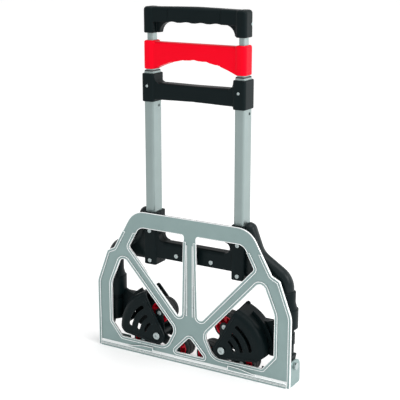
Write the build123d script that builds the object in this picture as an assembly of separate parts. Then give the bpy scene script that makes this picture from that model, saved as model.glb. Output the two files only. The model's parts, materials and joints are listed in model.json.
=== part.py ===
from build123d import *
from math import degrees
import os

# Folding hand truck with telescopic handle and three-wheel stair clusters.
# Millimetres. +X is the truck's right side, -Y the side that carries the load, +Z up.
# The origin is the middle of the folded truck's footprint, on the surface it stands on.

# ---------------------------------------------------------------- driving dimensions
TUBE_SPACING = 200.0          # between the centre lines of the two telescopic legs
TUBE_Y = 4.5                  # all telescopic tubes share this plane
OUTER = (21.0, 33.0, 5.0, 1.5)     # width, depth, corner radius, wall
MIDDLE = (16.0, 27.0, 4.0, 1.4)
INNER = (12.0, 20.0, 3.5, 1.3)
OUTER_BOTTOM, OUTER_TOP = 196.0, 583.5
MIDDLE_BOTTOM, MIDDLE_TOP = 208.0, 641.0
INNER_BOTTOM, INNER_TOP = 222.0, 704.0
GUIDE_HEIGHT = 22.0           # plastic guides between nested tubes
GUIDE_GAP = 0.08              # running clearance of a guide

COLLAR_Z = (525.0, 580.0)     # upper crossbar collars
CROSSBAR_Z = (530.0, 563.0)
RED_Z = (588.0, 643.0)        # middle handle collars
TOP_Z = (657.0, 709.0)        # top handle collars

CLAMP_X = (86.0, 114.0)       # lower clamp blocks
CLAMP_Y = (-14.0, 26.0)
CLAMP_Z = (193.0, 303.0)
CARRY_BEAM_Z = (208.0, 243.0)
CARRY_STRIP_Z = (264.0, 292.0)
CARRY_Y = (-10.0, 18.0)

POST_X, POST_Y = 198.0, TUBE_Y  # swivel axis of the wheel brackets
POST_RADIUS, POST_WALL = 14.2, 1.8
COLLAR_RADIUS, COVER_RADIUS = 17.5, 16.0
ARM_WEB_Y = (-4.0, 13.0)      # gusset between a clamp and its side arm
POST_BOTTOM = 58.0

PLATE_FACE_Y, PLATE_BACK_Y = -24.0, -21.0
PLATE_WIDTH, PLATE_HEIGHT = 444.0, 303.0
LIP_WIDTH, LIP_RISE = 5.0, 1.5
LIP_TOP = 257.0                    # the raised lips stop here; the top arch is plain
PIVOT_Y, PIVOT_Z = -5.0, 40.0      # toe plate hinge axis, along X
PIVOT_BOLT_RADIUS = 4.0
FLANGE_X = (219.0, 222.0)

CLUSTER_X, CLUSTER_Z = 75.3, 48.6  # main axle of a wheel cluster
ARM_LENGTH = 46.0                  # main axle to wheel axle
WHEEL_RADIUS, HUB_RADIUS = 25.2, 21.3
WHEEL_Y = (-16.0, 18.0)
AXLE_RADIUS, WHEEL_AXLE_RADIUS = 5.0, 3.0
RUN_FIT = 0.06                     # radial clearance of a turning fit

FAN_Y = (-30.0, -27.0)             # front plate of the wheel housing
BACK_PLATE_Y = (24.0, 27.0)
BACK_PLATE_REACH = 163.0           # keeps clear of the opened toe plate
HOUSING_RADIUS, HOUSING_WALL = 93.5, 3.5
SHOULDER_RADIUS = 14.0             # round front edge of the housing
RIM_Y = (-2.0, 3.5)
RIM_RADIUS = 101.0                 # stiffening rim round the housing
HOUSING_TOP = (105.0, 137.0)       # upper corner of the front plate
SLEEVE_RADIUS = 23.0
SLEEVE_Z = (112.3, 149.7)
KNUCKLE_Z = (79.3, 99.7)

HALF = TUBE_SPACING / 2
SIDES = {"left": -1, "right": 1}
os.makedirs("parts", exist_ok=True)


# ---------------------------------------------------------------- small helpers
def save(name, *solids):
    """Write one sub-part; identical loose pieces go in as a group."""
    shape = solids[0] if len(solids) == 1 else Compound(children=list(solids))
    export_step(shape, f"parts/{name}.step")


def box(x, y, z):
    """Block between three (low, high) pairs."""
    size = [pair[1] - pair[0] for pair in (x, y, z)]
    return Pos((x[0] + x[1]) / 2, (y[0] + y[1]) / 2, (z[0] + z[1]) / 2) * Box(*size)


def rod_y(radius, y, x=0.0, z=0.0):
    """Cylinder along Y between two ends."""
    return Pos(x, (y[0] + y[1]) / 2, z) * Rot(90, 0, 0) * Cylinder(radius, y[1] - y[0])


def rod_x(radius, x, y=0.0, z=0.0):
    """Cylinder along X between two ends."""
    return Pos((x[0] + x[1]) / 2, y, z) * Rot(0, 90, 0) * Cylinder(radius, x[1] - x[0])


def rod_z(radius, z, x=0.0, y=0.0):
    """Cylinder along Z between two ends."""
    return Pos(x, y, (z[0] + z[1]) / 2) * Cylinder(radius, z[1] - z[0])


def outline(corners):
    """Closed face in X and Z from (x, z, corner radius) rows."""
    line = FilletPolyline(*[(x, z) for x, z, _ in corners],
                          radius=[radius for _, _, radius in corners], close=True)
    return make_face(line)


def along_y(face, y):
    """Extrude a face drawn in X and Z from y[0] to y[1]."""
    front = Plane(origin=(0, y[0], 0), x_dir=(1, 0, 0), z_dir=(0, -1, 0))
    return extrude(front * face, amount=-(y[1] - y[0]))


def rounded_bar(x, y, z, top_radius, bottom_radius=0.5):
    """Bar along X whose long edges are rounded."""
    section = make_face(FilletPolyline(
        (y[0], z[0]), (y[1], z[0]), (y[1], z[1]), (y[0], z[1]), close=True,
        radius=[bottom_radius, bottom_radius, top_radius, top_radius]))
    end = Plane(origin=(x[0], 0, 0), x_dir=(0, 1, 0), z_dir=(1, 0, 0))
    return extrude(end * section, amount=x[1] - x[0])


def mirrored(shape, side):
    """Right-hand shapes are drawn once; the left ones are their mirror images."""
    return shape if side > 0 else mirror(shape, about=Plane.YZ)


def tube_section(size, shrink=0.0):
    """Rounded rectangle of a telescopic tube, on its own centre line."""
    width, depth, corner, _ = size
    radius = max(corner - shrink, 0.8)
    return RectangleRounded(width - 2 * shrink, depth - 2 * shrink, radius)


def upright(section, z, x=0.0):
    """Extrude a tube section upwards at one leg."""
    return extrude(Pos(x, TUBE_Y, z[0]) * section, amount=z[1] - z[0])


def leg_tube(size, z, x):
    """One hollow telescopic tube."""
    return upright(tube_section(size), z, x) - upright(tube_section(size, size[3]), z, x)


def screw_y(x, z, face_y, head_radius, head_rise, shank_radius, shank_length):
    """Round-head cross-recess screw driven in along +Y."""
    head = rod_y(head_radius, (face_y - head_rise, face_y), x, z)
    head = fillet(head.edges().sort_by(Axis.Y)[0], head_rise * 0.7)
    slot = head_radius * 0.9
    recess_y = (face_y - head_rise - 1, face_y - head_rise * 0.4)
    recess = box((x - slot / 2, x + slot / 2), recess_y, (z - 0.6, z + 0.6))
    recess += box((x - 0.6, x + 0.6), recess_y, (z - slot / 2, z + slot / 2))
    return head - recess + rod_y(shank_radius, (face_y, face_y + shank_length), x, z)


# ---------------------------------------------------------------- telescopic legs
outer_tubes = {}
for name, side in SIDES.items():
    outer_tubes[name] = leg_tube(OUTER, (OUTER_BOTTOM, OUTER_TOP), side * HALF)
    outer_tubes[name] -= rod_x(3.0, (side * HALF + 5, side * HALF + 15), 10.0, 516.0)

GUIDE_WALL_TOP = OUTER_TOP + 2.0
outer_guides = []
for side in SIDES.values():
    bore = upright(tube_section(MIDDLE, -GUIDE_GAP), (OUTER_TOP - 30, OUTER_TOP + 5), side * HALF)
    guide = upright(tube_section(OUTER, OUTER[3]), (OUTER_TOP - GUIDE_HEIGHT, OUTER_TOP), side * HALF)
    guide += upright(tube_section(OUTER, 0.6), (OUTER_TOP, GUIDE_WALL_TOP), side * HALF)
    outer_guides.append(guide - bore)
save("outer_guides", *outer_guides)


def foot_guide(inside_of, around, z, x):
    """Plastic plug at the bottom of a nested tube that slides in the tube around it."""
    rim = upright(tube_section(around, around[3] + GUIDE_GAP), z, x)
    pocket = upright(tube_section(inside_of), (z[0] + 4, z[1] + 1), x)
    opening = upright(tube_section(inside_of, inside_of[3] + 1.0), (z[0] - 1, z[1] + 1), x)
    return rim - pocket - opening


def lock_pin(tube, z, side):
    """Spring pin resting in the tube's outer wall, pressed in by the tube around it."""
    face = side * HALF + tube[0] / 2
    return rod_x(2.4, (face - 1.25, face + 0.3), TUBE_Y + 2.0, z)


for label, tube, around, bottom, top, pin_z in (
        ("middle", MIDDLE, OUTER, MIDDLE_BOTTOM, MIDDLE_TOP, 346.0),
        ("inner", INNER, MIDDLE, INNER_BOTTOM, INNER_TOP, 474.0)):
    guides, pins = [], []
    for name, side in SIDES.items():
        pin = lock_pin(tube, pin_z, side)
        save(f"{label}_tube_{name}", leg_tube(tube, (bottom, top), side * HALF) - pin)
        guides.append(foot_guide(tube, around, (bottom - 4, bottom + 14), side * HALF))
        pins.append(pin)
    save(f"{label}_guides", *guides)
    save(f"{label}_lock_pins", *pins)

# ---------------------------------------------------------------- upper crossbar
crossbar = along_y(outline([
    (-95, CROSSBAR_Z[0], 1), (0, CROSSBAR_Z[0] + 2, 200), (95, CROSSBAR_Z[0], 1),
    (95, COLLAR_Z[1] - 3, 1), (87, COLLAR_Z[1] - 3, 1), (84, CROSSBAR_Z[1], 9),
    (0, CROSSBAR_Z[1] - 1, 200),
    (-84, CROSSBAR_Z[1], 9), (-87, COLLAR_Z[1] - 3, 1), (-95, COLLAR_Z[1] - 3, 1)]), (-12.0, 16.0))
crossbar_band = box((-78, 78), (-12.0, 16.0), (CROSSBAR_Z[0] + 8, CROSSBAR_Z[1] + 3))
crossbar -= crossbar_band - rounded_bar((-78, 78), (-12.0, 16.0), (CROSSBAR_Z[0] + 7, CROSSBAR_Z[1]), 6.0)
crossbar -= box((-80, 80), (2, 17), (CROSSBAR_Z[0] + 5, CROSSBAR_Z[1] - 7))
for rib in range(-2, 3):
    crossbar += box((rib * 30 - 1.2, rib * 30 + 1.2), (1, 15.5),
                    (CROSSBAR_Z[0] + 4, CROSSBAR_Z[1] - 6))
crossbar_screws = []
for side in SIDES.values():
    collar = upright(RectangleRounded(27, 41, 6.5), COLLAR_Z, side * HALF)
    collar = fillet(collar.faces().sort_by(Axis.Z)[-1].edges(), 2.0)
    crossbar += fillet(collar.faces().sort_by(Axis.Z)[0].edges(), 1.5)
    crossbar_screws.append(screw_y(side * HALF, 556, -16.0, 2.8, 0.9, 1.4, 5.0))
for side in SIDES.values():
    crossbar -= upright(tube_section(OUTER), (COLLAR_Z[0] - 5, COLLAR_Z[1] + 5), side * HALF)
for name, screw in zip(SIDES, crossbar_screws):
    crossbar -= screw
    outer_tubes[name] -= screw
save("upper_crossbar", crossbar)
save("upper_crossbar_screws", *crossbar_screws)


# ---------------------------------------------------------------- handles
def handle_collars(z, width, depth, tube, corner=8.0):
    """Two rounded sockets round the ends of a pair of tubes."""
    sockets = []
    for side in SIDES.values():
        socket = upright(RectangleRounded(width, depth, corner), z, side * HALF)
        socket = fillet(socket.faces().sort_by(Axis.Z)[0].edges(), 1.5)
        sockets.append(socket)
    return sockets


def arch_waves(count, pitch, radius, depth):
    """Row of shallow finger cuts that follows the arch under the middle handle."""
    cuts = []
    for index in range(count):
        spot = Vector(0, 0, ARCH_RADIUS - radius + depth).rotate(
            Axis.Y, degrees((index - (count - 1) / 2) * pitch / ARCH_RADIUS))
        cuts.append(rod_y(radius, (-20, 30), spot.X, ARCH_TOP - ARCH_RADIUS + spot.Z))
    return cuts


def finger_waves(count, pitch, radius, depth, underside, y):
    """Row of shallow cuts under a handle for the fingers."""
    first = -(count - 1) / 2 * pitch
    return [rod_y(radius, y, first + index * pitch, underside - radius + depth)
            for index in range(count)]


ARCH_RADIUS, ARCH_TOP = 204.0, 609.5    # arch under the middle handle
red_handle = rounded_bar((-96, 96), (-9.0, 18.0), (RED_Z[0] + 1.0, 640.5), 8.0)
red_handle -= rod_y(ARCH_RADIUS, (-20, 30), 0.0, ARCH_TOP - ARCH_RADIUS)
for wave in arch_waves(5, 27.0, 20.0, 1.1):
    red_handle -= wave
for socket in handle_collars(RED_Z, 23.0, 33.0, MIDDLE):
    red_handle += fillet(socket.faces().sort_by(Axis.Z)[-1].edges(), 4.0)
red_screws = []
for side in SIDES.values():
    red_handle -= upright(tube_section(MIDDLE), (RED_Z[0] - 5, MIDDLE_TOP), side * HALF)
    red_handle -= upright(tube_section(INNER, -1.0), (RED_Z[0] - 5, RED_Z[1] + 5), side * HALF)
    red_screws.append(Pos(0, 2 * TUBE_Y, 0) * mirror(
        screw_y(side * HALF, 616, -12.0, 3.2, 1.2, 1.4, 2.9), about=Plane.XZ))
for screw in red_screws:
    red_handle -= screw
save("red_handle", red_handle)
save("red_handle_screws", *red_screws)

GRIP_UNDERSIDE = 678.5
top_handle = along_y(outline([
    (-96, GRIP_UNDERSIDE, 1), (96, GRIP_UNDERSIDE, 1), (108, 706, 3), (0, 708.6, 600),
    (-108, 706, 3)]), (-9.5, 18.5))
top_handle &= rounded_bar((-108, 108), (-9.5, 18.5), (TOP_Z[0], 708.6), 9.0)
for side in SIDES.values():
    corner_web = box(sorted((side * 62, side * 92)), (2.0, 17.0), (TOP_Z[0] + 0.5, GRIP_UNDERSIDE + 6))
    top_handle += corner_web - rod_y(22.0, (-20, 30), side * 60, TOP_Z[0] - 1.0)
for socket in handle_collars((TOP_Z[0], TOP_Z[1] - 2), 23.0, 33.0, INNER):
    top_handle += fillet(socket.faces().sort_by(Axis.Z)[-1].edges(), 6.5)
top_screws = []
for side in SIDES.values():
    top_handle -= upright(tube_section(INNER), (TOP_Z[0] - 5, INNER_TOP), side * HALF)
    face = side * (HALF + 11.5)
    head = rod_x(3.0, sorted((face, face + side * 1.2)), 13.0, 681.0)
    top_screws.append(head + rod_x(1.4, sorted((face - side * 4.0, face)), 13.0, 681.0))
for screw in top_screws:
    top_handle -= screw
GRIP_END = 57.0
grip_zone = box((-GRIP_END, GRIP_END), (-30, 40), (650, 720))
grip_core = Pos(0, TUBE_Y, 694.5) * Rot(0, 90, 0) * extrude(
    RectangleRounded(15.0, 15.0, 5.0), amount=GRIP_END + 3, both=True)
grip = (top_handle & grip_zone) - grip_core
for wave in finger_waves(4, 32.0, 40.0, 1.6, GRIP_UNDERSIDE, (-20, 30)):
    grip -= wave
top_handle = (top_handle - grip_zone) + grip_core
save("top_handle", top_handle)
save("top_grip", grip)
save("top_handle_screws", *top_screws)

# ---------------------------------------------------------------- lower clamps and carry crossbar
CARRY_X = (-CLAMP_X[0] - 4, CLAMP_X[0] + 4)
carry = rounded_bar(CARRY_X, CARRY_Y, CARRY_BEAM_Z, 7.0, 2.0)
carry += rounded_bar(CARRY_X, CARRY_Y, CARRY_STRIP_Z, 4.0, 4.0)
for side in SIDES.values():
    web = box(sorted((side * 70, side * CLAMP_X[0])), CARRY_Y, (CARRY_BEAM_Z[1] - 8, CARRY_STRIP_Z[0] + 4))
    web -= along_y(Pos(side * 70.5, (CARRY_BEAM_Z[1] + CARRY_STRIP_Z[0]) / 2) * Circle(10.6),
                   (CARRY_Y[0] - 1, CARRY_Y[1] + 1))
    block = box(sorted((side * CLAMP_X[0], side * CLAMP_X[1])), CLAMP_Y, CLAMP_Z)
    block = fillet(block.edges().filter_by(Axis.Z), 4.0)
    carry += web + fillet(block.faces().sort_by(Axis.Z)[0].edges(), 1.5)
for side in SIDES.values():
    carry -= upright(tube_section(OUTER), (OUTER_BOTTOM, CLAMP_Z[1] + 5), side * HALF)
carry_screws = []
for side, name in ((-1, "left"), (1, "right")):
    for z in (201.8, 263.8):
        carry_screws.append(screw_y(side * HALF, z, CLAMP_Y[0], 4.3, 1.5, 1.8, 3.2))
        outer_tubes[name] -= carry_screws[-1]
    carry_screws.append(screw_y(side * 39.7, 218.7, CARRY_Y[0], 4.5, 1.5, 2.0, 22.0))
for screw in carry_screws:
    carry -= screw
SPLIT = TUBE_Y
carry_front = carry & box((-150, 150), (-40, SPLIT), (150, 350))
carry_back = carry & box((-150, 150), (SPLIT, 60), (150, 350))
save("carry_crossbar_front", carry_front)
save("carry_crossbar_back", carry_back)
save("carry_crossbar_screws", *carry_screws)
for name, tube in outer_tubes.items():
    save(f"outer_tube_{name}", tube)

# ---------------------------------------------------------------- side arms and swivel posts
arm_path = FilletPolyline((118, POST_Y, 294), (137, POST_Y, 245), (POST_X, POST_Y, 206.5),
                          (POST_X, POST_Y, POST_BOTTOM), radius=[50, 32])
arm_plane = Plane(origin=arm_path @ 0, z_dir=arm_path % 0)
arm_solid = sweep(arm_plane * Circle(POST_RADIUS), path=arm_path)
arm_solid += Pos(118, POST_Y, 294) * Sphere(POST_RADIUS)
arm_bore = sweep(arm_plane * Circle(POST_RADIUS - POST_WALL), path=arm_path)
arm_web = along_y(outline([(108, 207, 1), (168, 207, 1), (190, 209, 2), (150, 236, 2),
                           (136, 246, 2), (120, 290, 1), (108, 290, 1)]), ARM_WEB_Y)
arm_web += rod_x(8.5, (108, 168), POST_Y, 207) + Pos(168, POST_Y, 207) * Sphere(8.5)
clamp_space = box(CLAMP_X, (CLAMP_Y[0] - 5, CLAMP_Y[1] + 5), (150, 400))
arm = arm_solid + arm_web - arm_bore - clamp_space - box((50, CLAMP_X[1]), (-30, 60), (150, 400))


def ring(outer, inner, z):
    """Ring round the swivel post."""
    return rod_z(outer, z, POST_X, POST_Y) - rod_z(inner, (z[0] - 1, z[1] + 1), POST_X, POST_Y)


upper_collar = ring(COLLAR_RADIUS, POST_RADIUS, (163.0, 185.0))
upper_collar = chamfer(upper_collar.edges().group_by(Axis.Z)[-1].sort_by(SortBy.RADIUS)[-1], 1.2)
taper = Pos(POST_X, POST_Y, 156.5) * Cone(21.0, COLLAR_RADIUS, 13.0)
upper_collar += taper - rod_z(POST_RADIUS, (140, 170), POST_X, POST_Y)
lower_cover = ring(COVER_RADIUS, POST_RADIUS, (POST_BOTTOM, KNUCKLE_Z[0] - 0.3))
upper_cover = ring(COVER_RADIUS, POST_RADIUS, (KNUCKLE_Z[1] + 0.3, SLEEVE_Z[0] - 0.3))

# Foot: a cap under the post, and beside it a neck down to the toe plate's pivot.
NECK_X = (204.0, 216.0)
neck_face = make_hull(
    (Pos(PIVOT_Y, PIVOT_Z) * Circle(11.0)).edges()
    + Polyline((-8.0, 55.0), (17.0, 55.0), (17.0, 58.0), (-8.0, 58.0), close=True).edges())
neck_plane = Plane(origin=(NECK_X[0], 0, 0), x_dir=(0, 1, 0), z_dir=(1, 0, 0))
foot = extrude(neck_plane * neck_face, amount=NECK_X[1] - NECK_X[0])
foot += rod_z(POST_RADIUS, (55.0, POST_BOTTOM), POST_X, POST_Y)
foot += rod_z(POST_RADIUS - POST_WALL, (57.0, 84.0), POST_X, POST_Y)
bolt = rod_x(PIVOT_BOLT_RADIUS, (NECK_X[0], 222.5), PIVOT_Y, PIVOT_Z)
foot -= bolt
bolt += Pos(222.5, PIVOT_Y, PIVOT_Z) * Rot(0, 90, 0) * extrude(
    RegularPolygon(7.5, 6), amount=5.0)
for name, side in SIDES.items():
    save(f"side_arm_{name}", mirrored(arm, side))
    save(f"post_foot_{name}", mirrored(foot, side))
    save(f"post_collars_{name}", *[mirrored(piece, side)
                                   for piece in (upper_collar, upper_cover, lower_cover)])
save("pivot_bolts", *[mirrored(bolt, side) for side in SIDES.values()])


# ---------------------------------------------------------------- toe plate
def both_sides(corners):
    """Close a right-hand run of corners with its mirror image."""
    return corners + [(-x, z, radius) for x, z, radius in reversed(corners) if x > 0]


plate_face = outline(both_sides([
    (PLATE_WIDTH / 2, 0, 1), (PLATE_WIDTH / 2, 142, 45), (196, 211, 5), (179, 219, 8),
    (132, PLATE_HEIGHT, 45)]))
upper_hole = [(13.5, 271, 6), (119, 271, 20), (143.5, 226, 6), (18, 87, 8)]
lower_hole = [(160, 209, 12), (188, 143, 32), (188, 58, 5), (163, 27.5, 3),
              (55, 27.5, 24), (34, 70, 16)]
triangle_hole = outline([(0, 60, 7), (37, 21, 3), (-37, 21, 3)])
holes = [triangle_hole]
for side in SIDES.values():
    for corners in (upper_hole, lower_hole):
        holes.append(outline([(side * x, z, radius) for x, z, radius in corners]))
plate = along_y(plate_face, (PLATE_FACE_Y, PLATE_BACK_Y))
lip = (PLATE_FACE_Y - LIP_RISE, PLATE_FACE_Y)
lips = plate_face - offset(plate_face, -LIP_WIDTH)
for hole in holes:
    lips += offset(hole, LIP_WIDTH)
plate += along_y(lips & Pos(0, LIP_TOP / 2) * Rectangle(PLATE_WIDTH, LIP_TOP), lip)
for hole in holes:
    plate -= along_y(hole, (PLATE_FACE_Y - 5, PLATE_BACK_Y + 5))
for side in SIDES.values():
    plate += box((side * 7 - 1.0, side * 7 + 1.0), (PLATE_FACE_Y - 1.0, PLATE_FACE_Y + 1), (104, 250))
    pad = outline([(side * 88, 10, 0.5), (side * 88, 18, 0.5), (side * 112, 17.5, 8), (side * 150, 11, 0.3),
                   (side * 150, 10, 0.3)])
    plate += along_y(pad, (PLATE_FACE_Y - 2.6, PLATE_FACE_Y + 1))
toe_bar = Plane(origin=(-216, 0, 0), x_dir=(0, 1, 0), z_dir=(1, 0, 0)) * make_face(
    Polyline((PLATE_FACE_Y + 1, 0), (-28.0, 0), (-28.0, 4.0), (-27.2, 4.4), (-27.2, 5.8),
             (-28.0, 6.2), (-28.0, 9.0), (PLATE_FACE_Y, 12.5), (PLATE_FACE_Y + 1, 12.5), close=True))
plate += extrude(toe_bar, amount=432)
save("toe_plate", plate)

# Hinge bracket: a side flange with the pivot, a strip riveted to the plate and a channel foot.
flange = extrude(Plane(origin=(FLANGE_X[0], 0, 0), x_dir=(0, 1, 0), z_dir=(1, 0, 0)) * make_face(
    FilletPolyline((PLATE_BACK_Y, 0), (20, 0), (20, 50), (PLATE_BACK_Y, 52), close=True,
                   radius=[0.5, 4, 18, 3])), amount=FLANGE_X[1] - FLANGE_X[0])
BUSH_RADIUS = 6.5
CHANNEL_Y = (-9.0, -7.0)           # inner wall of the channel foot
flange -= rod_x(BUSH_RADIUS, (210, 230), PIVOT_Y, PIVOT_Z)
bracket = flange + box((154, 219), (PLATE_BACK_Y, PLATE_BACK_Y + 2), (1, 25))
bracket += box((154, 203), (PLATE_BACK_Y, CHANNEL_Y[1]), (0.5, 2.5))
bracket += box((154, 203), CHANNEL_Y, (0.5, 26))
bush = rod_x(BUSH_RADIUS, (216.3, 222.2), PIVOT_Y, PIVOT_Z)
bush -= rod_x(PIVOT_BOLT_RADIUS + RUN_FIT, (200, 230), PIVOT_Y, PIVOT_Z)
rivets = []
for x in (162.0, 194.0, 212.0):
    rivets.append(rod_y(3.2, (PLATE_BACK_Y + 2, PLATE_BACK_Y + 3.2), x, 14.0))
for name, side in SIDES.items():
    save(f"hinge_bracket_{name}", mirrored(bracket, side))
save("hinge_bushes", *[mirrored(bush, side) for side in SIDES.values()])
save("bracket_rivets", *[mirrored(rivet, side) for side in SIDES.values() for rivet in rivets])

def round_axle(distance, angle):
    """Point (x, z) at a distance and angle from the right-hand main axle."""
    arm = Vector(distance, 0, 0).rotate(Axis.Y, -angle)
    return CLUSTER_X + arm.X, CLUSTER_Z + arm.Z


# ---------------------------------------------------------------- wheel housing
fan_corner = (152.0, 40.5)
fan_face = make_hull(
    (Pos(CLUSTER_X, CLUSTER_Z) * Circle(18.0)).edges()
    + Polyline(HOUSING_TOP, (HOUSING_TOP[0] + 0.5, HOUSING_TOP[1]), fan_corner, close=True).edges())
drum = Pos(CLUSTER_X, CLUSTER_Z) * Circle(HOUSING_RADIUS)
drum_core = Pos(CLUSTER_X, CLUSTER_Z) * Circle(HOUSING_RADIUS - HOUSING_WALL)
wedge = make_face(Polyline((CLUSTER_X, CLUSTER_Z), (HOUSING_TOP[0] + 12.2, HOUSING_TOP[1] + 36),
                           (220, 160), (220, 54), (170, 54), fan_corner, (120, 36.5), close=True))
sector = drum & wedge


def puck(radius, y, edge_radius):
    """Disc round the main axle whose front edge is rounded."""
    disc = rod_y(radius, y, CLUSTER_X, CLUSTER_Z)
    return fillet(disc.edges().filter_by(GeomType.CIRCLE).sort_by(Axis.Y)[0], edge_radius)


fan_outline = fan_face + sector
housing = puck(HOUSING_RADIUS, (FAN_Y[0], BACK_PLATE_Y[0]), SHOULDER_RADIUS)
housing -= puck(HOUSING_RADIUS - HOUSING_WALL, (FAN_Y[1], 60.0), SHOULDER_RADIUS - HOUSING_WALL + 1.0)
housing &= along_y(fan_outline, (FAN_Y[0] - 5, BACK_PLATE_Y[0]))
fan_flat = Pos(CLUSTER_X, CLUSTER_Z) * Circle(HOUSING_RADIUS - SHOULDER_RADIUS)
edge_line = (offset(fan_outline, -3.4) - offset(fan_outline, -4.8)) & fan_flat
housing += along_y(edge_line, (FAN_Y[0] - 0.8, FAN_Y[0] + 1))
for radius, width, low, high in ((28.0, 6.0, 12, 52), (45.0, 7.5, 10, 56), (65.0, 8.0, 12, 58)):
    arc = CenterArc((0, 0), radius, low, high - low)
    housing += along_y(Pos(CLUSTER_X, CLUSTER_Z) * SlotArc(arc, width + 2.4), (FAN_Y[0] - 0.5, FAN_Y[1]))
    housing -= along_y(Pos(CLUSTER_X, CLUSTER_Z) * SlotArc(arc, width), (FAN_Y[0] - 1, FAN_Y[1] + 1))

# Stiffening rim behind the round shoulder.
rim_face = Pos(CLUSTER_X, CLUSTER_Z) * (Circle(RIM_RADIUS) - Circle(HOUSING_RADIUS - 1.5))
rim_corners = [round_axle(150.0, angle) for angle in (6.0, 31.0, 57.0)]
rim_face &= make_face(Polyline((CLUSTER_X, CLUSTER_Z), *rim_corners, close=True))
rim = along_y(rim_face, RIM_Y)
housing += rim

post_clear = rod_z(17.2, (40, 160), POST_X, POST_Y)
web_face = make_face(Polyline((128, 127), (146, 114), (158, 114), (176, 122), (188, 126), (188, 58),
                              (166, 50), (150, 56), close=True))
drum_space = rod_y(HOUSING_RADIUS - 1.0, (-60, 60), CLUSTER_X, CLUSTER_Z)
WEB_BACK = BACK_PLATE_Y[0] - 0.4
web = along_y(web_face, (6.0, 12.0))
web += box((146, 188), (-5.0, WEB_BACK), (50.0, 62.5))
web += box((140, 188), (6.0, WEB_BACK), (110.0, 114.0))
foot_clear = rod_z(22.6, (40.0, POST_BOTTOM + 0.7), POST_X, POST_Y)
housing += web - post_clear - foot_clear - drum_space
for z, radius in ((SLEEVE_Z, SLEEVE_RADIUS), (KNUCKLE_Z, 17.6)):
    housing += rod_z(radius, z, POST_X, POST_Y)
housing -= rod_z(POST_RADIUS + RUN_FIT, (40, 200), POST_X, POST_Y)

# Bosses on the rim take the screws of the back plate.
BOSS_ANGLES = (8.0, 38.0, 66.0)
bosses, housing_screws = [], []
for angle in BOSS_ANGLES:
    x, z = round_axle(HOUSING_RADIUS - 6.5, angle)
    bosses.append(rod_y(5.0, (8.0, BACK_PLATE_Y[0]), x, z))
    housing_screws.append(Pos(0, BACK_PLATE_Y[1] + CLAMP_Y[0], 0) * mirror(
        screw_y(x, z, CLAMP_Y[0], 3.4, 1.3, 1.5, 14.0), about=Plane.XZ))
for boss in bosses:
    housing += boss
back_face = make_hull(
    (Pos(CLUSTER_X, CLUSTER_Z) * Circle(15.0)).edges() + (Pos(105, 135.5) * Circle(5.0)).edges()
    + (Pos(85, 115) * Circle(4.0)).edges()) + sector
back_plate = along_y(back_face, BACK_PLATE_Y) & box((0, BACK_PLATE_REACH), (0, 60), (0, 200))
main_axle = rod_y(AXLE_RADIUS, (FAN_Y[0], BACK_PLATE_Y[1]), CLUSTER_X, CLUSTER_Z)
housing -= main_axle
back_plate -= main_axle
head = fillet(rod_y(7.6, (-33.0, FAN_Y[0]), CLUSTER_X, CLUSTER_Z).edges().sort_by(Axis.Y)[0], 1.8)
head -= rod_y(2.6, (-34.0, -31.4), CLUSTER_X, CLUSTER_Z)
nut = extrude(Plane(origin=(CLUSTER_X, BACK_PLATE_Y[1], CLUSTER_Z), x_dir=(1, 0, 0),
                    z_dir=(0, 1, 0)) * RegularPolygon(8.0, 6), amount=6.0)
main_axle += head + nut
for screw in housing_screws:
    housing -= screw
    back_plate -= screw

# ---------------------------------------------------------------- wheel cluster
SPIDER_FRONT_Y, SPIDER_BACK_Y = (-19.2, -17.0), (19.4, 21.8)
wheel_places = [round_axle(ARM_LENGTH, 90 + 120 * index) for index in range(3)]
spider_face = Pos(CLUSTER_X, CLUSTER_Z) * Circle(15.0)
for x, z in wheel_places:
    spider_face += make_hull((Pos(x, z) * Circle(9.3)).edges()
                             + (Pos(CLUSTER_X, CLUSTER_Z) * Circle(12.0)).edges())
spider = along_y(spider_face, SPIDER_FRONT_Y)
spider += rod_y(8.5, (FAN_Y[1] + 0.3, SPIDER_FRONT_Y[0]), CLUSTER_X, CLUSTER_Z)
spider += rod_y(10.0, (SPIDER_FRONT_Y[1], SPIDER_BACK_Y[0]), CLUSTER_X, CLUSTER_Z)
spider_back = along_y(spider_face, SPIDER_BACK_Y)
spider_back += rod_y(8.5, (SPIDER_BACK_Y[1], BACK_PLATE_Y[0] - 0.3), CLUSTER_X, CLUSTER_Z)
axle_bore = rod_y(AXLE_RADIUS + RUN_FIT, (-60, 60), CLUSTER_X, CLUSTER_Z)
spider -= axle_bore
spider_back -= axle_bore
wheel_axles = []
for x, z in wheel_places:
    axle = screw_y(x, z, SPIDER_FRONT_Y[0], 5.0, 1.5, WHEEL_AXLE_RADIUS,
                   SPIDER_BACK_Y[1] - SPIDER_FRONT_Y[0])
    axle += rod_y(4.6, (SPIDER_BACK_Y[1], SPIDER_BACK_Y[1] + 1.0), x, z)
    wheel_axles.append(axle)
    spider -= axle
    spider_back -= axle


def wheel_hub(x, z):
    """Spoked hub: rim, boss and five spokes."""
    hub_y = (WHEEL_Y[0] + 1.0, WHEEL_Y[1] - 1.0)
    hub = rod_y(HUB_RADIUS, hub_y, x, z) - rod_y(HUB_RADIUS - 2.5, (hub_y[0] - 1, hub_y[1] + 1), x, z)
    hub += rod_y(6.5, (WHEEL_Y[0] - 0.9, WHEEL_Y[1] + 0.9), x, z)
    hub += rod_y(HUB_RADIUS - 1.0, (-2.0, 4.0), x, z)
    for spoke in range(5):
        angle = 90 + spoke * 72
        bar = box((5.0, HUB_RADIUS - 1.0), (hub_y[0] + 1.5, hub_y[1] - 1.5), (-2.3, 2.3))
        hub += Pos(x, 0, z) * Rot(0, -angle, 0) * bar
    return hub - rod_y(WHEEL_AXLE_RADIUS + RUN_FIT, (-60, 60), x, z)


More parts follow.
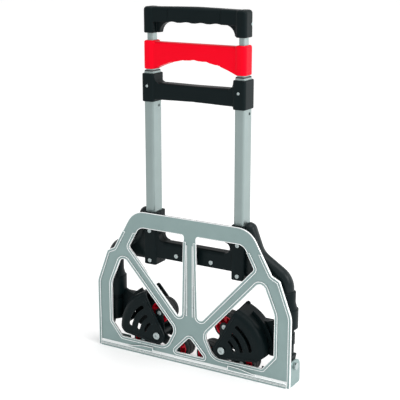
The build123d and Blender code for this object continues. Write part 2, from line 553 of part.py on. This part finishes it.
def tyre(x, z):
    """Solid rubber tyre with rounded shoulders and two tread grooves."""
    band = rod_y(WHEEL_RADIUS, WHEEL_Y, x, z)
    band = fillet(band.edges().filter_by(GeomType.CIRCLE), 2.5)
    for groove_y in (-4.5, 8.0):
        cut = rod_y(WHEEL_RADIUS + 2, (groove_y - 0.9, groove_y + 0.9), x, z)
        band -= cut - rod_y(WHEEL_RADIUS - 1.2, (groove_y - 2, groove_y + 2), x, z)
    return band - rod_y(HUB_RADIUS, (WHEEL_Y[0] - 1, WHEEL_Y[1] + 1), x, z)


for name, side in SIDES.items():
    save(f"wheel_housing_{name}", mirrored(housing, side))
    save(f"housing_back_{name}", mirrored(back_plate, side))
    save(f"housing_screws_{name}", *[mirrored(screw, side) for screw in housing_screws])
    save(f"main_axle_{name}", mirrored(main_axle, side))
    save(f"spider_front_{name}", mirrored(spider, side))
    save(f"spider_back_{name}", mirrored(spider_back, side))
    save(f"wheel_axles_{name}", *[mirrored(axle, side) for axle in wheel_axles])
    for number, (x, z) in enumerate(wheel_places, start=1):
        save(f"hub_{name}_{number}", mirrored(wheel_hub(x, z), side))
        save(f"tyre_{name}_{number}", mirrored(tyre(x, z), side))
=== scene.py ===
"""Looks of a folding hand truck: finishes, moulded edges, fine details, floor, lights and camera.

Everything is in metres in the truck's own frame: +X right, -Y the load side, +Z up.
"""

import json
import logging
import math
from dataclasses import dataclass, field
from enum import Enum

import bmesh
import bpy
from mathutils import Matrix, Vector


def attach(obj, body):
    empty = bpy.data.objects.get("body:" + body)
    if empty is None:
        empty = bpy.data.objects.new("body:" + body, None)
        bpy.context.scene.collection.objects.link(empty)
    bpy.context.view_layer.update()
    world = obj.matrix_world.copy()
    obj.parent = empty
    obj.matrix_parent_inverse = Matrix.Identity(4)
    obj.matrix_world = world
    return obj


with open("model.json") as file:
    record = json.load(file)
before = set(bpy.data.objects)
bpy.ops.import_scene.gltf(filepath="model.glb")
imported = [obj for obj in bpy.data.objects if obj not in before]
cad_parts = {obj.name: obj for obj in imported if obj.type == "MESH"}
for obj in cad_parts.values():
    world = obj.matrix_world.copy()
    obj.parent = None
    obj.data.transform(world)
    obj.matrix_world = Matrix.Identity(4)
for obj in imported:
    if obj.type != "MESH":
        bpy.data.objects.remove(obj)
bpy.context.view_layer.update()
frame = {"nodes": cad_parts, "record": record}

logging.basicConfig(level=logging.INFO, format="%(name)s: %(message)s")
log = logging.getLogger("hand_truck")

MM = 0.001
SIDES = ("left", "right")
Colour = tuple[float, float, float]
DUST_COLOUR: Colour = (0.42, 0.41, 0.39)
SLOTS: dict[str, str] = {row["node"]: row["material_slot"] for row in frame["record"]["subparts"]}


# ------------------------------------------------------------------ shader groups
class Effect(Enum):
    """Surface effects that several finishes share."""

    GRAIN = "moulded_grain"
    BRUSHED = "brushed_lines"
    # Edge mask: rubbed wear, and painted highlights along the edges.
    WEAR = "edge_wear_and_highlight"
    DUST = "settled_dust"
    TONE = "tone_variation"


class ShaderGroups:
    """Builds each shared node group once and hands it out by name."""

    def __init__(self) -> None:
        """Start with no groups built."""
        self.built: dict[Effect, bpy.types.NodeTree] = {}

    def get(self, effect: Effect) -> bpy.types.NodeTree:
        """Return the node group of an effect, building it at first use.

        Args:
            effect: which shared effect.

        Returns:
            The node group.
        """
        if effect not in self.built:
            tree = bpy.data.node_groups.new(effect.value, "ShaderNodeTree")
            getattr(self, f"_build_{effect.name.lower()}")(tree)
            self.built[effect] = tree
        return self.built[effect]

    @staticmethod
    def _sockets(tree: bpy.types.NodeTree, inputs: dict[str, float],
                 outputs: tuple[str, ...]) -> tuple[bpy.types.Node, bpy.types.Node]:
        """Give a group its float inputs and outputs.

        Args:
            tree: the group.
            inputs: names and default values.
            outputs: names.

        Returns:
            The group's input and output nodes.
        """
        for name, value in inputs.items():
            socket = tree.interface.new_socket(name, in_out="INPUT", socket_type="NodeSocketFloat")
            socket.default_value = value
        for name in outputs:
            tree.interface.new_socket(name, in_out="OUTPUT", socket_type="NodeSocketFloat")
        return tree.nodes.new("NodeGroupInput"), tree.nodes.new("NodeGroupOutput")

    @staticmethod
    def _math(tree: bpy.types.NodeTree, operation: str, first: object, second: object,
              clamp: bool = False) -> bpy.types.NodeSocket:
        """Add a maths node.

        Args:
            tree: the group.
            operation: Blender's name of the operation.
            first: a socket or a number.
            second: a socket or a number.
            clamp: keep the result between 0 and 1.

        Returns:
            The result socket.
        """
        node = tree.nodes.new("ShaderNodeMath")
        node.operation, node.use_clamp = operation, clamp
        for index, value in enumerate((first, second)):
            if isinstance(value, (int, float)):
                node.inputs[index].default_value = value
            else:
                tree.links.new(value, node.inputs[index])
        return node.outputs[0]

    @staticmethod
    def _noise(tree: bpy.types.NodeTree, scale: object, detail: float,
               stretch: Vector = Vector((1, 1, 1))) -> bpy.types.NodeSocket:
        """Add a noise texture in the piece's own coordinates.

        Args:
            tree: the group.
            scale: a socket or a number.
            detail: octaves.
            stretch: how much finer the noise is along each axis.

        Returns:
            The noise value socket.
        """
        where = tree.nodes.new("ShaderNodeTexCoord")
        mapping = tree.nodes.new("ShaderNodeMapping")
        mapping.inputs["Scale"].default_value = stretch
        noise = tree.nodes.new("ShaderNodeTexNoise")
        noise.inputs["Detail"].default_value = detail
        tree.links.new(where.outputs["Object"], mapping.inputs["Vector"])
        tree.links.new(mapping.outputs["Vector"], noise.inputs["Vector"])
        if isinstance(scale, (int, float)):
            noise.inputs["Scale"].default_value = scale
        else:
            tree.links.new(scale, noise.inputs["Scale"])
        return noise.outputs["Fac"]

    def _build_grain(self, tree: bpy.types.NodeTree) -> None:
        """Fine pebbled texture of a spark-eroded mould.

        Args:
            tree: the group to fill.
        """
        enter, leave = self._sockets(tree, {"Scale": 1500.0, "Coarse": 0.35}, ("Height",))
        fine = self._noise(tree, enter.outputs["Scale"], 2.0)
        coarse_scale = self._math(tree, "MULTIPLY", enter.outputs["Scale"], 0.12)
        coarse = self._noise(tree, coarse_scale, 1.0)
        weighted = self._math(tree, "MULTIPLY", coarse, enter.outputs["Coarse"])
        tree.links.new(self._math(tree, "ADD", fine, weighted), leave.inputs["Height"])

    def _build_brushed(self, tree: bpy.types.NodeTree) -> None:
        """Long fine lines left by drawing and brushing aluminium along Z.

        Args:
            tree: the group to fill.
        """
        enter, leave = self._sockets(tree, {"Scale": 900.0}, ("Height", "Tone"))
        lines = self._noise(tree, enter.outputs["Scale"], 3.0, Vector((1, 1, 0.02)))
        bands_scale = self._math(tree, "MULTIPLY", enter.outputs["Scale"], 0.15)
        bands = self._noise(tree, bands_scale, 2.0, Vector((1, 1, 0.05)))
        tree.links.new(lines, leave.inputs["Height"])
        tree.links.new(bands, leave.inputs["Tone"])

    def _build_wear(self, tree: bpy.types.NodeTree) -> None:
        """Mask of outer edges, broken up by noise: rubbed wear, and painted highlights along the edges.

        Args:
            tree: the group to fill.
        """
        enter, leave = self._sockets(tree, {"Amount": 0.5}, ("Mask",))
        bevel = tree.nodes.new("ShaderNodeBevel")
        bevel.samples = 4
        bevel.inputs["Radius"].default_value = 0.9 * MM
        surface = tree.nodes.new("ShaderNodeNewGeometry")
        dot = tree.nodes.new("ShaderNodeVectorMath")
        dot.operation = "DOT_PRODUCT"
        tree.links.new(bevel.outputs["Normal"], dot.inputs[0])
        tree.links.new(surface.outputs["Normal"], dot.inputs[1])
        edge = self._math(tree, "SUBTRACT", 1.0, dot.outputs["Value"], clamp=True)
        edge = self._math(tree, "MULTIPLY", edge, 4.0, clamp=True)
        patches = self._math(tree, "SUBTRACT", self._noise(tree, 120.0, 4.0), 0.35, clamp=True)
        patches = self._math(tree, "MULTIPLY", patches, 4.0, clamp=True)
        mask = self._math(tree, "MULTIPLY", edge, patches)
        tree.links.new(self._math(tree, "MULTIPLY", mask, enter.outputs["Amount"], clamp=True),
                       leave.inputs["Mask"])

    def _build_dust(self, tree: bpy.types.NodeTree) -> None:
        """Mask of fine dust on faces that look up.

        Args:
            tree: the group to fill.
        """
        enter, leave = self._sockets(tree, {"Amount": 0.3}, ("Mask",))
        surface = tree.nodes.new("ShaderNodeNewGeometry")
        split = tree.nodes.new("ShaderNodeSeparateXYZ")
        tree.links.new(surface.outputs["Normal"], split.inputs[0])
        upward = self._math(tree, "SUBTRACT", split.outputs["Z"], 0.4, clamp=True)
        cloud = self._noise(tree, 60.0, 5.0)
        mask = self._math(tree, "MULTIPLY", upward, cloud)
        tree.links.new(self._math(tree, "MULTIPLY", mask, enter.outputs["Amount"], clamp=True),
                       leave.inputs["Mask"])

    def _build_tone(self, tree: bpy.types.NodeTree) -> None:
        """Slow cloudy variation for colour and roughness.

        Args:
            tree: the group to fill.
        """
        enter, leave = self._sockets(tree, {"Scale": 25.0}, ("Mask",))
        tree.links.new(self._noise(tree, enter.outputs["Scale"], 3.0), leave.inputs["Mask"])


GROUPS = ShaderGroups()


# ------------------------------------------------------------------ finishes
@dataclass(frozen=True)
class Finish:
    """One surface finish, from which a material is built.

    Attributes say what the finish is: colours, gloss, and how much of each shared effect it shows.
    """

    name: str
    colour: Colour
    shade: Colour
    roughness: tuple[float, float]
    metallic: float = 0.0
    specular: float = 0.5
    coat: float = 0.0
    # Worn colour laid over the edge mask: rubbed wear, and a painted highlight along the edges.
    worn_and_highlit: Colour = (0.2, 0.2, 0.2)
    wear: float = 0.3
    dust: float = 0.15
    grain_scale: float = 1500.0
    grain_depth: float = 0.02
    brushed: bool = False
    tone_scale: float = 25.0

    def build(self) -> bpy.types.Material:
        """Make the material.

        Returns:
            The finished material.
        """
        material = bpy.data.materials.new(self.name)
        material.use_nodes = True
        material.diffuse_color = (*self.colour, 1.0)
        tree = material.node_tree
        shader = tree.nodes["Principled BSDF"]
        shader.inputs["Metallic"].default_value = self.metallic
        shader.inputs["Specular IOR Level"].default_value = self.specular
        shader.inputs["Coat Weight"].default_value = self.coat
        shader.inputs["Coat Roughness"].default_value = 0.12
        tone = self._group(tree, Effect.TONE, Scale=self.tone_scale).outputs["Mask"]
        wear = self._group(tree, Effect.WEAR, Amount=self.wear).outputs["Mask"]
        dust = self._group(tree, Effect.DUST, Amount=self.dust).outputs["Mask"]
        colour = self._mix(tree, tone, self.colour, self.shade)
        # The edge mask lays the worn colour on rubbed edges, which also paints edge highlights.
        colour = self._mix(tree, wear, colour, self.worn_and_highlit)
        colour = self._mix(tree, dust, colour, DUST_COLOUR)
        tree.links.new(colour, shader.inputs["Base Color"])
        if self.brushed:
            lines = self._group(tree, Effect.BRUSHED, Scale=self.grain_scale)
            height, rough_mask = lines.outputs["Height"], lines.outputs["Tone"]
        else:
            height = self._group(tree, Effect.GRAIN, Scale=self.grain_scale).outputs["Height"]
            rough_mask = tone
        spread = tree.nodes.new("ShaderNodeMapRange")
        spread.inputs["To Min"].default_value = self.roughness[0]
        spread.inputs["To Max"].default_value = self.roughness[1]
        tree.links.new(rough_mask, spread.inputs["Value"])
        tree.links.new(spread.outputs["Result"], shader.inputs["Roughness"])
        bump = tree.nodes.new("ShaderNodeBump")
        bump.inputs["Strength"].default_value = 0.6
        bump.inputs["Distance"].default_value = self.grain_depth * MM
        tree.links.new(height, bump.inputs["Height"])
        tree.links.new(bump.outputs["Normal"], shader.inputs["Normal"])
        return material

    @staticmethod
    def _group(tree: bpy.types.NodeTree, effect: Effect, **values: float) -> bpy.types.Node:
        """Place a shared effect with this finish's own values.

        Args:
            tree: the material's nodes.
            effect: which effect.
            **values: input values by name.

        Returns:
            The group node.
        """
        node = tree.nodes.new("ShaderNodeGroup")
        node.node_tree = GROUPS.get(effect)
        for name, value in values.items():
            node.inputs[name].default_value = value
        return node

    @staticmethod
    def _mix(tree: bpy.types.NodeTree, mask: bpy.types.NodeSocket, first: object,
             second: Colour) -> bpy.types.NodeSocket:
        """Mix a colour over another by a mask.

        Args:
            tree: the material's nodes.
            mask: 0 shows the first colour, 1 the second.
            first: a colour or a socket.
            second: a colour.

        Returns:
            The mixed colour's socket.
        """
        mix = tree.nodes.new("ShaderNodeMix")
        mix.data_type = "RGBA"
        tree.links.new(mask, mix.inputs["Factor"])
        if isinstance(first, tuple):
            mix.inputs[6].default_value = (*first, 1.0)
        else:
            tree.links.new(first, mix.inputs[6])
        mix.inputs[7].default_value = (*second, 1.0)
        return mix.outputs[2]


# Each worn colour paints rubbed edges and a highlight along the edges.
FINISHES = {
    finish.name: finish for finish in (
        Finish("tube_aluminium", (0.29, 0.355, 0.35), (0.245, 0.30, 0.295), (0.30, 0.44), metallic=0.75,
               specular=0.3, worn_and_highlit=(0.8, 0.82, 0.83), wear=0.5, dust=0.05, grain_scale=1400.0,
               grain_depth=0.012, brushed=True),
        Finish("plate_aluminium", (0.265, 0.355, 0.35), (0.225, 0.305, 0.30), (0.34, 0.5), metallic=0.5,
               specular=0.3, worn_and_highlit=(0.7, 0.74, 0.74), wear=0.6, dust=0.05, grain_scale=2200.0,
               grain_depth=0.015),
        # Near-white cut walls and beads: bright cut metal with a painted highlight.
        Finish("polished_edge_highlight", (0.95, 0.97, 0.97), (0.88, 0.91, 0.91), (0.22, 0.34), metallic=0.35,
               worn_and_highlit=(0.97, 0.98, 0.98), wear=0.5, dust=0.0, grain_scale=2200.0, grain_depth=0.008),
        Finish("black_plastic", (0.002, 0.0065, 0.0075), (0.004, 0.009, 0.010), (0.34, 0.48), specular=0.09,
               worn_and_highlit=(0.045, 0.052, 0.055), wear=0.6, dust=0.03, grain_scale=1700.0, grain_depth=0.04),
        Finish("grip_black", (0.002, 0.0065, 0.0075), (0.004, 0.009, 0.010), (0.42, 0.54), specular=0.09,
               worn_and_highlit=(0.04, 0.045, 0.047), wear=0.4, dust=0.03, grain_scale=1100.0, grain_depth=0.07),
        Finish("arm_black", (0.003, 0.008, 0.009), (0.006, 0.012, 0.013), (0.28, 0.40), specular=0.18,
               worn_and_highlit=(0.06, 0.068, 0.07), wear=0.4, dust=0.03, grain_scale=2600.0, grain_depth=0.03),
        Finish("steel_black", (0.003, 0.007, 0.008), (0.006, 0.011, 0.012), (0.34, 0.46), specular=0.15,
               worn_and_highlit=(0.08, 0.085, 0.09), wear=0.5, dust=0.03, grain_scale=2400.0, grain_depth=0.02),
        Finish("red_plastic", (0.90, 0.0, 0.016), (0.80, 0.0, 0.012), (0.30, 0.42), specular=0.06,
               worn_and_highlit=(0.85, 0.06, 0.06), wear=0.3, dust=0.02, grain_scale=1300.0, grain_depth=0.02),
        Finish("hub_red", (0.62, 0.0, 0.018), (0.52, 0.0, 0.014), (0.3, 0.42), specular=0.25,
               worn_and_highlit=(0.7, 0.08, 0.08), wear=0.3, dust=0.03, grain_scale=1500.0, grain_depth=0.03),
        Finish("tyre_rubber", (0.007, 0.009, 0.010), (0.014, 0.016, 0.017), (0.5, 0.68), specular=0.2,
               worn_and_highlit=(0.06, 0.06, 0.06), wear=0.5, dust=0.12, grain_scale=900.0, grain_depth=0.08),
        Finish("guide_nylon", (0.02, 0.023, 0.025), (0.03, 0.033, 0.036), (0.4, 0.5), specular=0.3,
               wear=0.2, dust=0.03, grain_scale=1800.0, grain_depth=0.02),
        Finish("zinc_steel", (0.44, 0.50, 0.50), (0.32, 0.38, 0.38), (0.2, 0.36), metallic=0.85,
               worn_and_highlit=(0.85, 0.87, 0.88), wear=0.6, dust=0.0, grain_scale=1800.0, grain_depth=0.02),
    )
}


class Palette:
    """Materials by slot name, each built once."""

    def __init__(self) -> None:
        """Start with no materials built."""
        self.made: dict[str, bpy.types.Material] = {}

    def get(self, slot: str) -> bpy.types.Material:
        """Return a slot's material, building it at first use.

        Args:
            slot: the finish's name, which the record gives each part as its slot.

        Returns:
            The material.
        """
        if slot not in self.made:
            self.made[slot] = FINISHES[slot].build()
        return self.made[slot]


# ------------------------------------------------------------------ sub-assemblies
class Edge(Enum):
    """How a part's edges are finished."""

    MACHINED = "machined"
    FOLDED = "folded"
    MOULDED = "moulded"
    POLISHED = "polished"


def pair(*stems: str) -> tuple[str, ...]:
    """Return the left and right names of each stem."""
    return tuple(f"{stem}_{side}" for stem in stems for side in SIDES)


@dataclass
class SubAssembly:
    """CAD parts that are finished together, with the sizes of their edge finishes.

    A machined or folded edge is broken by a small bevel. A moulding gets a fine skin whose edges are
    smoothed round. A polished sheet shows bright cut walls, whose near-white colour paints their highlight.
    """

    palette: Palette
    machined_break: float = 0.25 * MM
    folded_break: float = 0.55 * MM
    break_steps: int = 2
    break_angle: float = math.radians(40)
    sewing_reach: float = 0.004 * MM
    flat_angle: float = math.radians(0.6)
    skin_voxel: float = 0.9 * MM
    skin_passes: int = 6
    skin_keep: float = 0.35
    wall_limit: float = 0.98

    def parts(self) -> dict[Edge, tuple[str, ...]]:
        """Return the sub-assembly's parts by edge finish."""
        raise NotImplementedError

    def build(self) -> None:
        """Dress every part of the sub-assembly and report it."""
        for edge, names in self.parts().items():
            for name in names:
                self.dress(name, edge)
        log.info("%s done", type(self).__name__)

    def dress(self, node: str, edge: Edge) -> None:
        """Give one CAD part its material and edge finish.

        Args:
            node: the part's name.
            edge: how its edges are finished.
        """
        part = frame["nodes"][node]
        material = self.palette.get(SLOTS[node])
        if not part.data.materials:
            part.data.materials.append(material)
        for index in range(len(part.data.materials)):
            part.data.materials[index] = material
        if edge is Edge.MOULDED:
            self._mould(part)
        elif edge is Edge.POLISHED:
            self._polish_and_highlight_walls(part)
        else:
            self._break_edges(part, self.machined_break if edge is Edge.MACHINED else self.folded_break)
        log.info("%s dressed as %s, %s edges", node, SLOTS[node], edge.value)

    def _break_edges(self, part: bpy.types.Object, width: float) -> None:
        """Sew a part's faces, merge its flat triangles and break its sharp edges.

        Args:
            part: the part's object.
            width: how wide the broken edge is.
        """
        weld = part.modifiers.new("sew_faces", "WELD")
        weld.merge_threshold = self.sewing_reach
        flat = part.modifiers.new("merge_flat_faces", "DECIMATE")
        flat.decimate_type, flat.angle_limit = "DISSOLVE", self.flat_angle
        bevel = part.modifiers.new("edge_break", "BEVEL")
        bevel.width, bevel.segments, bevel.harden_normals = width, self.break_steps, False
        bevel.limit_method, bevel.angle_limit = "ANGLE", self.break_angle
        normals = part.modifiers.new("even_shading", "WEIGHTED_NORMAL")
        normals.keep_sharp = True

    def _mould(self, part: bpy.types.Object) -> None:
        """Round all edges softly, as on an injection moulding.

        Args:
            part: the part's object.
        """
        remesh = part.modifiers.new("mould_skin", "REMESH")
        remesh.mode, remesh.voxel_size, remesh.use_smooth_shade = "VOXEL", self.skin_voxel, True
        smooth = part.modifiers.new("mould_radii", "SMOOTH")
        smooth.factor, smooth.iterations = 0.5, self.skin_passes
        reduce = part.modifiers.new("mould_economy", "DECIMATE")
        reduce.ratio = self.skin_keep

    def _polish_and_highlight_walls(self, part: bpy.types.Object) -> None:
        """Give the cut walls of a sheet part a near-white finish: bright cut metal with a painted
        highlight.

        Args:
            part: the part's object.
        """
        # The walls get the near-white finish, a painted highlight.
        part.data.materials.append(self.palette.get("polished_edge_highlight"))
        for polygon in part.data.polygons:
            polygon.material_index = int(abs(polygon.normal.y) < self.wall_limit)


@dataclass
class TelescopicLegs(SubAssembly):
    """Outer, middle and inner tubes with their guides and spring pins."""

    def parts(self) -> dict[Edge, tuple[str, ...]]:
        """Return the sub-assembly's parts by edge finish."""
        return {Edge.MACHINED: (*pair("outer_tube", "middle_tube", "inner_tube"), "outer_guides",
                                "middle_guides", "inner_guides", "middle_lock_pins", "inner_lock_pins")}


@dataclass
class Handles(SubAssembly):
    """Upper crossbar, red middle handle and top handle with its grip."""

    def parts(self) -> dict[Edge, tuple[str, ...]]:
        """Return the sub-assembly's parts by edge finish."""
        return {Edge.MACHINED: ("upper_crossbar_screws", "red_handle_screws", "top_handle_screws"),
                Edge.MOULDED: ("upper_crossbar", "red_handle", "top_handle", "top_grip")}


@dataclass
class LowerFrame(SubAssembly):
    """Carry crossbar, side arms, posts and feet."""

    def parts(self) -> dict[Edge, tuple[str, ...]]:
        """Return the sub-assembly's parts by edge finish."""
        return {Edge.MACHINED: ("carry_crossbar_screws", "pivot_bolts", *pair("post_collars")),
                Edge.FOLDED: pair("side_arm"),
                Edge.MOULDED: ("carry_crossbar_front", "carry_crossbar_back", *pair("post_foot"))}


@dataclass
class ToePlate(SubAssembly):
    """Pierced plate with beads along its front edges, coloured near-white as a painted highlight, and its
    hinge brackets.
    """

    bead_radius: float = 0.75 * MM
    bead_sides: int = 2
    front_depth: float = 4.3 * MM
    floor_gap: float = 1.0 * MM
    facing: float = -0.9995
    turning: float = -0.999

    def parts(self) -> dict[Edge, tuple[str, ...]]:
        """Return the sub-assembly's parts by edge finish."""
        return {Edge.MACHINED: ("hinge_bushes", "bracket_rivets"), Edge.FOLDED: pair("hinge_bracket"),
                Edge.POLISHED: ("toe_plate",)}

    def build(self) -> None:
        """Dress the parts and lay the beads on the plate."""
        super().build()
        self.lay_beads("toe_plate")

    def lay_beads(self, node: str) -> None:
        """Lay a bead along every front edge of a part, riding on it; its near-white colour paints an edge
        highlight.

        Args:
            node: the sheet part's name.
        """
        chains = self._front_chains(frame["nodes"][node])
        curve = bpy.data.curves.new(f"{node}_rims", "CURVE")
        curve.dimensions, curve.bevel_depth = "3D", self.bead_radius
        curve.bevel_resolution = self.bead_sides
        for places, closed in chains:
            spline = curve.splines.new("POLY")
            spline.points.add(len(places) - 1)
            for point, place in zip(spline.points, places):
                point.co = (*place, 1.0)
            spline.use_cyclic_u = closed
        # Near-white bead colour: a painted highlight along the edges.
        curve.materials.append(self.palette.get("polished_edge_highlight"))
        rims = bpy.data.objects.new(f"{node}_rims", curve)
        bpy.context.scene.collection.objects.link(rims)
        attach(rims, node)
        log.info("%s carries %d rolled rims", node, len(chains))

    def _front_chains(self, part: bpy.types.Object) -> list[tuple[list[Vector], bool]]:
        """Chain the outward edges of the part's front faces.

        Args:
            part: the sheet part.

        Returns:
            Each chain's places in the frame, and whether it closes.
        """
        shape = bmesh.new()
        shape.from_mesh(part.data)
        shape.transform(part.matrix_world)
        bmesh.ops.remove_doubles(shape, verts=shape.verts, dist=self.sewing_reach)
        shape.edges.index_update()
        shape.normal_update()
        front = min(vert.co.y for vert in shape.verts) + self.front_depth
        edges = {edge.index: edge for edge in shape.edges if self._is_front_edge(edge, front)}
        chains = []
        while edges:
            chain = self._grow(edges)
            closed = chain[0] == chain[-1]
            if closed:
                chain.pop()
            chains.append(([vert.co.copy() for vert in chain], closed))
        shape.free()
        return chains

    def _is_front_edge(self, edge: bmesh.types.BMEdge, front: float) -> bool:
        """Tell whether an edge lies between a front face and a wall, off the floor.

        Args:
            edge: the edge.
            front: the Y that its ends must not pass.

        Returns:
            True for a front edge.
        """
        if not edge.is_convex or any(vert.co.y >= front for vert in edge.verts):
            return False
        normals = [face.normal.y for face in edge.link_faces]
        off_floor = any(vert.co.z > self.floor_gap for vert in edge.verts)
        return off_floor and min(normals) < self.facing and max(normals) > self.turning

    @staticmethod
    def _grow(edges: dict[int, bmesh.types.BMEdge]) -> list[bmesh.types.BMVert]:
        """Take edges that follow one another out of those that are left.

        Args:
            edges: the edges that are left, by number.

        Returns:
            The corners of one chain in order.
        """
        chain = list(edges.pop(min(edges)).verts)
        while chain[0] != chain[-1]:
            step = next((edge for edge in chain[-1].link_edges if edge.index in edges), None)
            if step is None:
                break
            del edges[step.index]
            chain.append(step.other_vert(chain[-1]))
        return chain


@dataclass
class WheelBrackets(SubAssembly):
    """Housings that carry the wheel clusters."""

    def parts(self) -> dict[Edge, tuple[str, ...]]:
        """Return the sub-assembly's parts by edge finish."""
        return {Edge.MACHINED: pair("housing_screws", "main_axle"),
                Edge.FOLDED: pair("housing_back", "wheel_housing")}


@dataclass
class WheelClusters(SubAssembly):
    """Spiders, wheel axles, hubs and tyres."""

    wheels_per_cluster: int = 3

    def parts(self) -> dict[Edge, tuple[str, ...]]:
        """Return the sub-assembly's parts by edge finish."""
        numbers = range(1, self.wheels_per_cluster + 1)
        wheels = tuple(f"{stem}_{number}" for stem in pair("hub", "tyre") for number in numbers)
        return {Edge.MACHINED: pair("wheel_axles"),
                Edge.FOLDED: (*pair("spider_front", "spider_back"), *wheels)}


# ------------------------------------------------------------------ studio
@dataclass(frozen=True)
class Lamp:
    """One soft square light: its name, place, side and power in watts."""

    name: str
    place: tuple[float, float, float]
    side: float
    power: float


@dataclass
class Studio:
    """Plain pale floor, soft lights and the camera."""

    floor_half: float = 40.0
    sky_strength: float = 0.76
    near_glow: float = 0.1
    far_glow: float = 0.31
    glow_reach: tuple[float, float] = (0.5, 2.2)
    sensor: float = 36.0
    lamps: tuple[Lamp, ...] = (
        Lamp("key_back_right", (1.9, 1.9, 1.0), 1.8, 16.0),
        Lamp("over_head", (0.5, -0.1, 2.2), 1.5, 20.0),
        Lamp("side_right", (2.0, -0.2, 1.3), 0.9, 20.0),
    )
    azimuth: float = math.radians(30.42)
    elevation: float = math.radians(14.72)
    aim: Vector = field(default_factory=lambda: Vector((0.0094, 0.0, 0.339)))
    distance: float = 1.9626
    lens: float = 90.75

    def build(self) -> None:
        """Make the floor, the surroundings, the lights and the camera."""
        self._floor()
        self._surroundings()
        for lamp in self.lamps:
            self._light(lamp)
        self._camera()

    def _floor(self) -> None:
        """Make a large floor with a plain pale finish."""
        mesh = bpy.data.meshes.new("floor")
        half = self.floor_half
        corners = [(-half, -half, 0), (half, -half, 0), (half, half, 0), (-half, half, 0)]
        mesh.from_pydata(corners, [], [(0, 1, 2, 3)])
        floor = bpy.data.objects.new("floor", mesh)
        bpy.context.scene.collection.objects.link(floor)
        material = bpy.data.materials.new("pale_floor")
        material.use_nodes = True
        shader = material.node_tree.nodes["Principled BSDF"]
        shader.inputs["Base Color"].default_value = (0.92, 0.92, 0.92, 1.0)
        shader.inputs["Roughness"].default_value = 0.6
        shader.inputs["Specular IOR Level"].default_value = 0.1
        shader.inputs["Emission Strength"].default_value = 1.0
        self._far_glow(material.node_tree, shader)
        mesh.materials.append(material)

    def _far_glow(self, tree: bpy.types.NodeTree, shader: bpy.types.Node) -> None:
        """Lift the floor towards white away from the truck, where the lamps no longer reach.

        Args:
            tree: the floor's nodes.
            shader: the floor's shader.
        """
        where = tree.nodes.new("ShaderNodeTexCoord")
        reach = tree.nodes.new("ShaderNodeVectorMath")
        reach.operation = "LENGTH"
        tree.links.new(where.outputs["Object"], reach.inputs[0])
        spread = tree.nodes.new("ShaderNodeMapRange")
        spread.inputs["From Min"].default_value, spread.inputs["From Max"].default_value = self.glow_reach
        tree.links.new(reach.outputs["Value"], spread.inputs["Value"])
        glow = tree.nodes.new("ShaderNodeMix")
        glow.data_type = "RGBA"
        glow.inputs[6].default_value = (self.near_glow, self.near_glow, self.near_glow, 1.0)
        glow.inputs[7].default_value = (self.far_glow, self.far_glow, self.far_glow, 1.0)
        tree.links.new(spread.outputs["Result"], glow.inputs["Factor"])
        tree.links.new(glow.outputs[2], shader.inputs["Emission Color"])

    def _surroundings(self) -> None:
        """Make an even white surrounding and plain colour handling."""
        world = bpy.data.worlds.new("studio")
        world.use_nodes = True
        sky = world.node_tree.nodes["Background"]
        sky.inputs["Color"].default_value = (1.0, 1.0, 1.0, 1.0)
        sky.inputs["Strength"].default_value = self.sky_strength
        scene = bpy.context.scene
        scene.world = world
        scene.view_settings.view_transform = "Standard"

    def _light(self, lamp: Lamp) -> None:
        """Make one soft square light aimed at the truck.

        Args:
            lamp: the light's name, place, side and power.
        """
        data = bpy.data.lights.new(lamp.name, "AREA")
        data.shape, data.size, data.energy = "SQUARE", lamp.side, lamp.power
        light = bpy.data.objects.new(lamp.name, data)
        bpy.context.scene.collection.objects.link(light)
        light.location = lamp.place
        light.rotation_mode = "QUATERNION"
        light.rotation_quaternion = (self.aim - Vector(lamp.place)).to_track_quat("-Z", "Y")

    def _camera(self) -> None:
        """Make the camera and aim it at the truck."""
        data = bpy.data.cameras.new("camera")
        data.lens, data.sensor_width = self.lens, self.sensor
        camera = bpy.data.objects.new("camera", data)
        bpy.context.scene.collection.objects.link(camera)
        level = math.cos(self.elevation)
        back = Vector((math.sin(self.azimuth) * level, -math.cos(self.azimuth) * level,
                       math.sin(self.elevation)))
        camera.location = self.aim + back * self.distance
        camera.rotation_mode = "QUATERNION"
        camera.rotation_quaternion = (-back).to_track_quat("-Z", "Y")
        bpy.context.scene.camera = camera


def main() -> None:
    """Build the studio and every sub-assembly in order."""
    Studio().build()
    palette = Palette()
    for assembly in (TelescopicLegs, Handles, LowerFrame, ToePlate, WheelBrackets, WheelClusters):
        assembly(palette).build()


if __name__ == "__main__":
    main()
